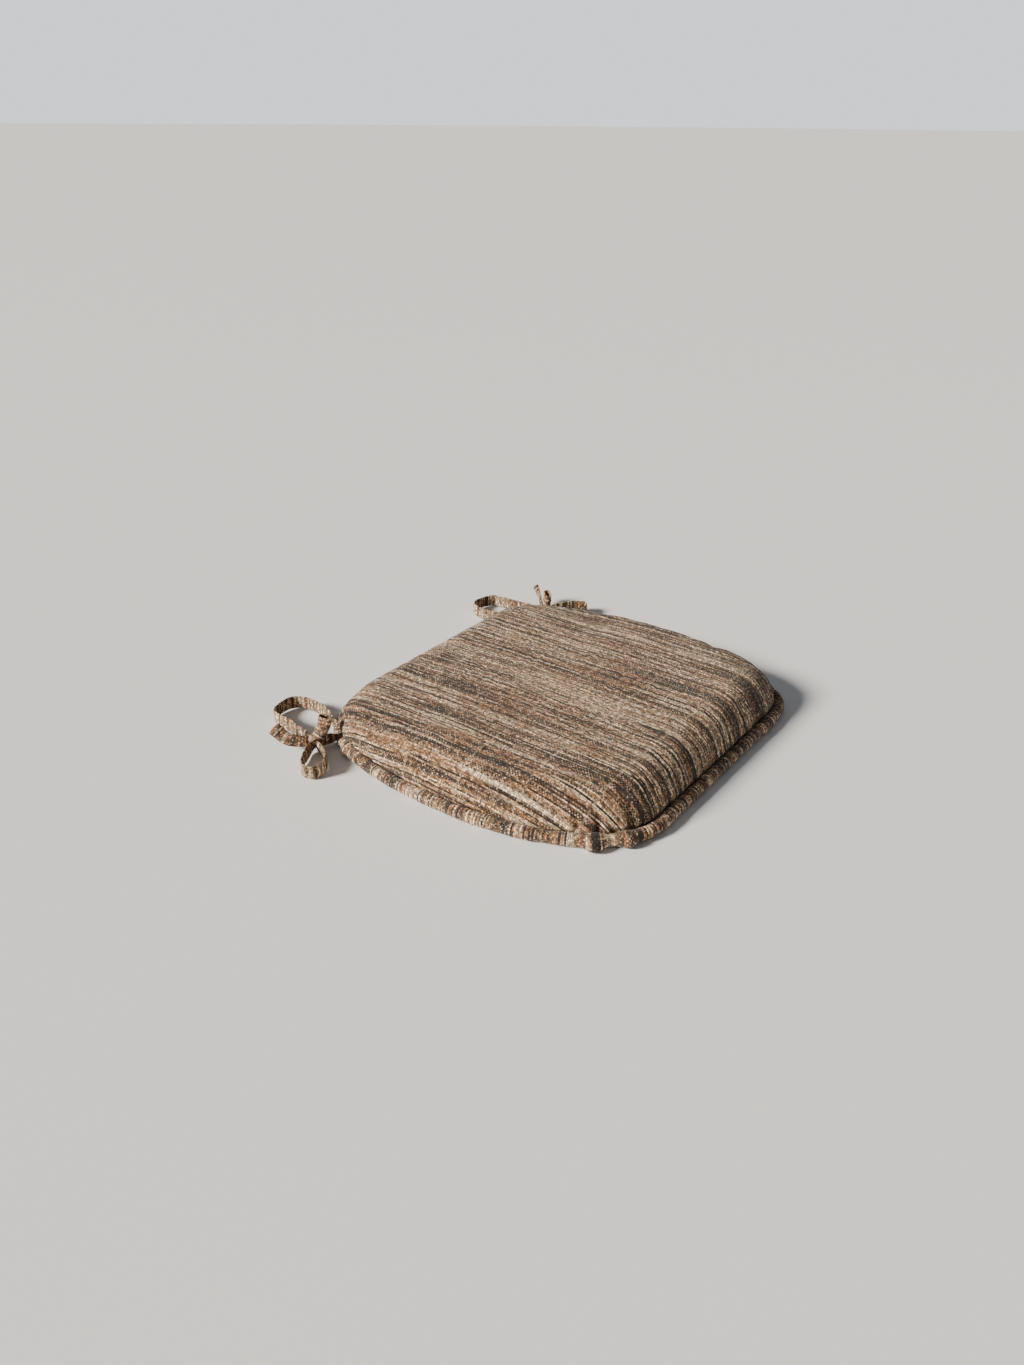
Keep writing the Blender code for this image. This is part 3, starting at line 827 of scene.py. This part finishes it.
# Puckers of the cover above its seam: azimuth in degrees, width in degrees and depth
PUCKERS = ((242.3, 1.1, 3.1), (245.2, 0.8, 1.8), (248.4, 1.2, 3.4), (258.6, 1.1, 2.9), (263.0, 0.9, 1.4),
           (124.5, 1.2, 1.8), (120.0, 1.0, 1.0), (61.0, 1.1, 1.4), (57.0, 1.0, 1.2), (296.0, 1.0, 1.0))
SLOT_LOW = 17.6 * MM
SLOT_HIGH = 26.4 * MM
SWELL_STEPS = 20
HOLD_LEVELS = 20
SIDE_HEIGHTS = np.concatenate([np.linspace(13.0, 17.6, 5), np.linspace(19.8, 26.4, 4),
                               np.linspace(28.4, 43.0, 9)]) * MM


def pucker():
    """How far each column stands out above the seam, in millimetres: in at a pucker, out beside it."""
    shift = 0
    for azimuth, width, depth in PUCKERS:
        shift = shift - depth * bump_at(DEGREES, azimuth, width)
        shift = shift + 0.55 * depth * (bump_at(DEGREES, azimuth - 2 * width, width)
                                        + bump_at(DEGREES, azimuth + 2 * width, width))
    return shift


def cover_grid():
    """Rows of the cover from its seam allowance up over the dome to the middle, and the ways out."""
    edge, edge_out = around(np.array((ALLOWANCE, 17 * MM, SEAM, SEAM - 0.8 * MM, SEAM - 1.1 * MM))[:, None],
                            SEAM_Z + np.array((FOLD, FOLD, FOLD + 0.1 * MM, 2.6 * MM, 4.2 * MM))[:, None])
    top, top_out = dome(0.0, SIDE_HEIGHTS)
    return np.concatenate([edge, top]), np.concatenate([edge_out, top_out]), len(edge)


def swell(piece, held, sizes):
    """Blows the cloth up a little from its held seams by cloth simulation.

    held is how firmly each point keeps its place, from 0 to 1. A point moves no further than the cap.
    """
    rest = np.empty(len(piece.data.vertices) * 3, np.float32)
    piece.data.vertices.foreach_get("co", rest)
    rest = rest.reshape(-1, 3)
    group = piece.vertex_groups.new(name="held")
    level = np.round(np.clip(held, 0, 1) * HOLD_LEVELS).astype(int)
    for weight in range(1, HOLD_LEVELS + 1):
        group.add(np.flatnonzero(level == weight).tolist(), weight / HOLD_LEVELS, "REPLACE")
    cloth = piece.modifiers.new("swell", "CLOTH")
    made = cloth.settings
    made.quality = 7
    made.mass = 0.2
    made.tension_stiffness = made.compression_stiffness = 18
    made.shear_stiffness = 8
    made.bending_stiffness = 0.4
    made.vertex_group_mass = "held"
    made.pin_stiffness = 1.0
    made.use_pressure = True
    made.uniform_pressure_force = 4
    made.shrink_min = -sizes.ease
    made.effector_weights.gravity = 0
    cloth.point_cache.frame_start, cloth.point_cache.frame_end = 1, SWELL_STEPS
    scene = bpy.context.scene
    for step in range(1, SWELL_STEPS + 1):
        scene.frame_set(step)
    moved = np.empty(len(rest) * 3, np.float32)
    piece.evaluated_get(bpy.context.evaluated_depsgraph_get()).data.vertices.foreach_get("co", moved)
    piece.modifiers.remove(cloth)
    piece.vertex_groups.clear()
    scene.frame_set(1)
    shift = moved.reshape(-1, 3) - rest
    size = np.linalg.norm(shift, axis=1, keepdims=True)
    shift *= sizes.swell_cap / (sizes.swell_cap + size)
    piece.data.vertices.foreach_set("co", (rest + shift).ravel())
    piece.data.update()


def way_up(points, out):
    """The way out of the dome at each point: out at its foot and up on its crown."""
    run = np.gradient(points, axis=0)
    level, rise = -(run[..., :2] * out).sum(2), run[..., 2]
    size = np.hypot(level, rise) + 1e-9
    return np.concatenate([out * (rise / size)[..., None], (level / size)[..., None]], axis=2)


class PAD_OT_cover(bpy.types.Operator):
    """Makes the domed cover: its rings, its puckers, its swell by simulation and its zip slot"""

    bl_idname = "pad.cover"
    bl_label = "Top cover"

    def execute(self, context):
        sizes = context.scene.pad_sizes
        points, out, edge_rows = cover_grid()
        rows, cols = points.shape[:2]
        chart = flatten(points, out)
        normal = way_up(points, out)
        climbed = np.concatenate([np.zeros((1, cols)),
                                  np.cumsum(np.linalg.norm(np.diff(points, axis=0), axis=2), axis=0)])
        climbed = climbed - climbed[edge_rows - 1]
        free = smoothstep(climbed, 0, 4 * MM)
        fade = free * np.exp(-climbed.clip(0) / (15 * MM))
        corner = smoothstep(np.abs(np.sin(2 * AZIMUTH)), 0.35, 0.8)
        ease = 0.25 * corner * rumple(DEGREES / 1.1, climbed / (9 * MM), 3)
        lumps = 0.5 * rumple(points[..., 0] / (26 * MM), points[..., 1] / (34 * MM), 8)
        lumps = lumps * smoothstep(climbed, 10 * MM, 40 * MM)
        shift = (pucker() * fade + ease * fade * 2.2 + lumps) * MM
        points = points + normal * shift[..., None]

        low, high = points[:-1, :, 2].mean(1), points[1:, :, 2].mean(1)
        in_slot = (low > SLOT_LOW - 1 * MM) & (high < SLOT_HIGH + 1 * MM)
        in_slot = in_slot & (np.arange(rows - 1) < edge_rows + len(SIDE_HEIGHTS))
        keep = ~(in_slot[:, None] & BACK_MIDDLE)
        piece = skin("top_cover_cloth", points, chart, close_end=True, keep=keep)
        side = smoothstep(climbed, 2 * MM, 14 * MM)
        held = 1 - side * (0.92 - 0.5 * smoothstep(climbed, 45 * MM, 90 * MM))
        slot_row = np.flatnonzero(in_slot)
        near_slot = np.zeros((rows, cols))
        near_slot[slot_row[0]:slot_row[-1] + 2] = 1
        near_back = smoothstep(np.sin(AZIMUTH), 0.97, 0.995)
        held = np.maximum(held, near_slot * near_back)
        held[-4:] = 1
        swell(piece, np.append(held.ravel(), 1.0), sizes)
        self.drop_loose(piece)
        thicken(piece, sizes.cloth)
        dress(piece, woven("cover_cloth", dark_yarns=1.0), "woven_cloth", "top_cover")
        return {"FINISHED"}

    @staticmethod
    def drop_loose(piece):
        """Deletes the points inside the slot, which no face uses."""
        bm = bmesh.new()
        bm.from_mesh(piece.data)
        unused = [vert for vert in bm.verts if not vert.link_faces]
        bmesh.ops.delete(bm, geom=unused, context="VERTS")
        bm.to_mesh(piece.data)
        bm.free()


# --- Piping, base and filling -------------------------------------------------------------------

# Where the piping kinks at the front left corner: azimuth, width in degrees, way out and swelling
KINKS = ((246.8, 2.5, 6.0, 1.8), (256.4, 1.9, 3.2, 1.0), (251.5, 1.6, -0.8, -0.4), (125.0, 1.8, 1.2, 0.4))


# Heights of the four layers that the strip's edges make in the seam, in millimetres
FLANGE = (0.78, 0.3, -0.3, -0.78)
KNUCKLE_POWER = 3.2
FILLER_GAP = 0.35 * MM
# How far from the seam, and how far below it, each ring of the base's turned-up edge lies
BASE_INSET = (ALLOWANCE, 17 * MM, SEAM, SEAM + 0.2 * MM, SEAM + 0.9 * MM, SEAM + 2.2 * MM, SEAM + 5 * MM,
              SEAM + 9 * MM, SEAM + 14 * MM)
BASE_DROP = (FOLD, FOLD, FOLD, 2.6 * MM, 4.6 * MM, SEAM_Z - 0.7 * MM, SEAM_Z - 0.15 * MM, SEAM_Z, SEAM_Z)
LOWEST = 0.1 * MM
FOAM_DEPTH, FOAM_TIGHT = 6.0 * MM, 0.85
FOAM_SIDE = np.array(((25, 1.6), (23.8, 2.4), (23.6, 7.0), (23.0, 12.0))) * MM
ZIP_ROOM = 4.5 * MM
WADDING_DEPTH, WADDING = 1.9 * MM, 2.6 * MM


def piping_grid(radius, wall_share=1.0, turns=None):
    """Rings of the piping: circles about a line inside the outline, uneven and kinked at a corner."""
    turns = np.linspace(0, 2 * math.pi, 28, endpoint=False) if turns is None else turns
    reach, more = 0 * AZIMUTH, 0 * AZIMUTH
    for azimuth, width, out, grow in KINKS:
        reach = reach + out * MM * bump_at(DEGREES, azimuth, width, KNUCKLE_POWER)
        more = more + grow * MM * bump_at(DEGREES, azimuth, width, KNUCKLE_POWER)
    line, _ = around(PIPING_RADIUS, SEAM_Z)
    run = run_along(line[None])[0]
    lump = 0.22 * rumple(run[:-1] / (3.2 * MM), 0, 17) + 0.18 * rumple(run[:-1] / (9 * MM), 0, 18)
    size = radius + (more + lump * MM) * wall_share
    turn = turns[:, None]
    outer_side = np.clip(-np.cos(turn), 0, 1)
    points, _ = around(PIPING_RADIUS + size * np.cos(turn) - reach * outer_side * wall_share,
                       SEAM_Z + size * np.sin(turn))
    points[..., 2] = np.maximum(points[..., 2], 0.12 * MM)
    return points, run, turns


class PAD_OT_piping(bpy.types.Operator):
    """Makes the piping: a strip of the same cloth round a cord, with its edges run into the seam"""

    bl_idname = "pad.piping"
    bl_label = "Piping"

    def execute(self, context):
        sizes, colours = context.scene.pad_sizes, context.scene.pad_colours
        turns = np.radians(np.linspace(8, 352, 37))
        outer, run, _ = piping_grid(PIPING_RADIUS, 1.0, turns)
        inner, _, _ = piping_grid(PIPING_RADIUS - sizes.cloth, 1.0, turns[::-2])
        flange = [around(ALLOWANCE, SEAM_Z + height * MM)[0][None] for height in FLANGE]
        points = np.concatenate([flange[0], outer, flange[3], flange[2], inner, flange[1]])
        girth = np.concatenate([[0], np.cumsum(np.linalg.norm(np.diff(points[:, 0], axis=0), axis=1))])
        girth = np.append(girth, girth[-1] + np.linalg.norm(points[0, 0] - points[-1, 0]))
        piping = skin("piping_cloth", points, chart_of(girth, run)[..., ::-1], ring_rows=True)
        face_out(piping)
        dress(piping, woven("piping_cloth_finish", dark_yarns=1.0), "woven_cloth", "piping_cover")

        points, run, turns = piping_grid(PIPING_RADIUS - sizes.cloth - FILLER_GAP, 0.9)
        girth = np.append(turns, 2 * math.pi) * (PIPING_RADIUS - sizes.cloth)
        cord = skin("piping_filler", points, chart_of(girth, run)[..., ::-1], ring_rows=True)
        face_out(cord)
        dress(cord, twisted("cotton_twist", colours.cotton), "cotton_cord", "piping_cord")
        return {"FINISHED"}


class PAD_OT_base(bpy.types.Operator):
    """Makes the flat base, with its edge turned up into the seam"""

    bl_idname = "pad.base"
    bl_label = "Base"

    def execute(self, context):
        sizes = context.scene.pad_sizes
        edge, out = around(np.array(BASE_INSET)[:, None], SEAM_Z - np.array(BASE_DROP)[:, None])
        flat = shrunk(edge[-1:], np.linspace(1, 0.03, 26)[1:])
        points = np.concatenate([edge, flat])
        out = np.concatenate([out, np.repeat(out[-1:], len(flat), 0)])
        run = run_along(edge[2:3])[0][:-1]
        gather = 0.35 * MM * rumple(run / (4 * MM), 0 * run, 31) + 0.4 * MM
        points[4:8, :, 2] += gather * np.array((0.6, 1.0, 0.7, 0.3))[:, None]
        level = points[len(edge):]
        wave = 0.25 * MM * (1 + rumple(level[..., 0] / (22 * MM), level[..., 1] / (27 * MM), 33) / 2)
        level[..., 2] += np.clip(wave, 0, None)
        points[..., 2] = np.maximum(points[..., 2], LOWEST)
        chart = flatten(points, out)
        piece = skin("base_cloth", points[:, ::-1], chart[:, ::-1], close_end=True)
        thicken(piece, sizes.cloth)
        dress(piece, woven("base_cloth_finish", dark_yarns=0.9), "woven_cloth", "base_panel")
        return {"FINISHED"}


class PAD_OT_filling(bpy.types.Operator):
    """Makes the foam slab and the layer of wadding over it"""

    bl_idname = "pad.filling"
    bl_label = "Foam and wadding"

    def execute(self, context):
        colours = context.scene.pad_colours
        back = smoothstep(np.sin(AZIMUTH), 0.90, 0.97) * (AZIMUTH < math.pi)

        top, _ = dome(FOAM_DEPTH, np.linspace(19, 43, 9) * MM, 14)
        room = smoothstep(top[..., 2], 8 * MM, 14 * MM) * (1 - smoothstep(top[..., 2], 30 * MM, 36 * MM))
        top[..., 1] -= ZIP_ROOM * room * back
        side, _ = around(FOAM_SIDE[:, :1], FOAM_SIDE[:, 1:])
        under = shrunk(side[:1], np.linspace(0.05, 1, 12))
        points = np.concatenate([under[:-1], side, top])
        foam = skin("foam_slab", points, close_start=True, close_end=True)
        face_out(foam)
        dress(foam, flecked("open_foam", colours.foam, darker(colours.foam, 0.72), 1400.0,
                            2.4, 0.9, 0.5 * MM), "foam", "foam_core")

        sheet, out = dome(WADDING_DEPTH, np.linspace(17, 43, 9) * MM, 14)
        sunk = np.minimum(pucker(), 0) * MM * (1 - smoothstep(sheet[..., 2], 24 * MM, 40 * MM))
        sheet[..., :2] += out * sunk[..., None]
        open_rows = (np.arange(len(sheet) - 1) < 6)[:, None]
        keep = ~(open_rows & (BACK_MIDDLE | (back > 0.99)))
        sheet[..., 2] += 0.15 * MM * rumple(sheet[..., 0] / (3 * MM), sheet[..., 1] / (3 * MM), 41)
        wadding = skin("wadding_layer", sheet, close_end=True, keep=keep)
        PAD_OT_cover.drop_loose(wadding)
        thicken(wadding, WADDING)
        dress(wadding, flecked("loose_fibre", colours.fibre, darker(colours.fibre, 0.8), 900.0,
                               2.0, 0.93, 0.8 * MM), "wadding", "fibre_wadding")
        return {"FINISHED"}


# --- The zip ------------------------------------------------------------------------------------

class PAD_OT_zip(bpy.types.Operator):
    """Finishes the zip's own parts"""

    bl_idname = "pad.zip"
    bl_label = "Zip"

    def execute(self, context):
        colours = context.scene.pad_colours
        tape = ribbed("zip_tape_weave", colours.tape, 0.8 * MM, 0.85)
        coil = flecked("zip_moulding", darker(colours.coil, 1.25), colours.coil, 500.0, 1.5,
                       0.42, 0.05 * MM)
        metal = flecked("zip_worn_metal", darker(colours.metal, 1.5), darker(colours.metal, 0.7),
                        350.0, 2.5, 0.38, 0.05 * MM, 0.9)
        for name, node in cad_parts.items():
            if name.startswith("zip_"):
                finish = tape if "tape" in name else coil if "teeth" in name else metal
                for slot in node.material_slots:
                    slot.material = finish
        return {"FINISHED"}


# --- Panel and registration ---------------------------------------------------------------------

OPERATORS = (PAD_OT_stage, PAD_OT_ties, PAD_OT_cover, PAD_OT_piping, PAD_OT_base, PAD_OT_filling, PAD_OT_zip)


class PAD_PT_panel(bpy.types.Panel):
    """Lists the pad's settings and makers"""

    bl_label = "Seat Pad"
    bl_idname = "PAD_PT_panel"
    bl_space_type = "VIEW_3D"
    bl_region_type = "UI"
    bl_category = "Seat Pad"

    def draw(self, context):
        for maker in OPERATORS:
            self.layout.operator(maker.bl_idname)
        for settings in (context.scene.pad_sizes, context.scene.pad_colours, context.scene.studio):
            box = self.layout.box()
            for key in settings.bl_rna.properties.keys():
                if key not in ("rna_type", "name"):
                    box.prop(settings, key)


CLASSES = (PadSizes, PadColours, StudioSettings, *OPERATORS, PAD_PT_panel)


def register():
    for made in CLASSES:
        bpy.utils.register_class(made)
    bpy.types.Scene.pad_sizes = bpy.props.PointerProperty(type=PadSizes)
    bpy.types.Scene.pad_colours = bpy.props.PointerProperty(type=PadColours)
    bpy.types.Scene.studio = bpy.props.PointerProperty(type=StudioSettings)


def unregister():
    for key in ("pad_sizes", "pad_colours", "studio"):
        delattr(bpy.types.Scene, key)
    for made in reversed(CLASSES):
        bpy.utils.unregister_class(made)


def main():
    register()
    bpy.ops.pad.stage()
    bpy.ops.pad.ties()
    bpy.ops.pad.cover()
    bpy.ops.pad.piping()
    bpy.ops.pad.base()
    bpy.ops.pad.filling()
    bpy.ops.pad.zip()


if __name__ == "__main__":
    main()
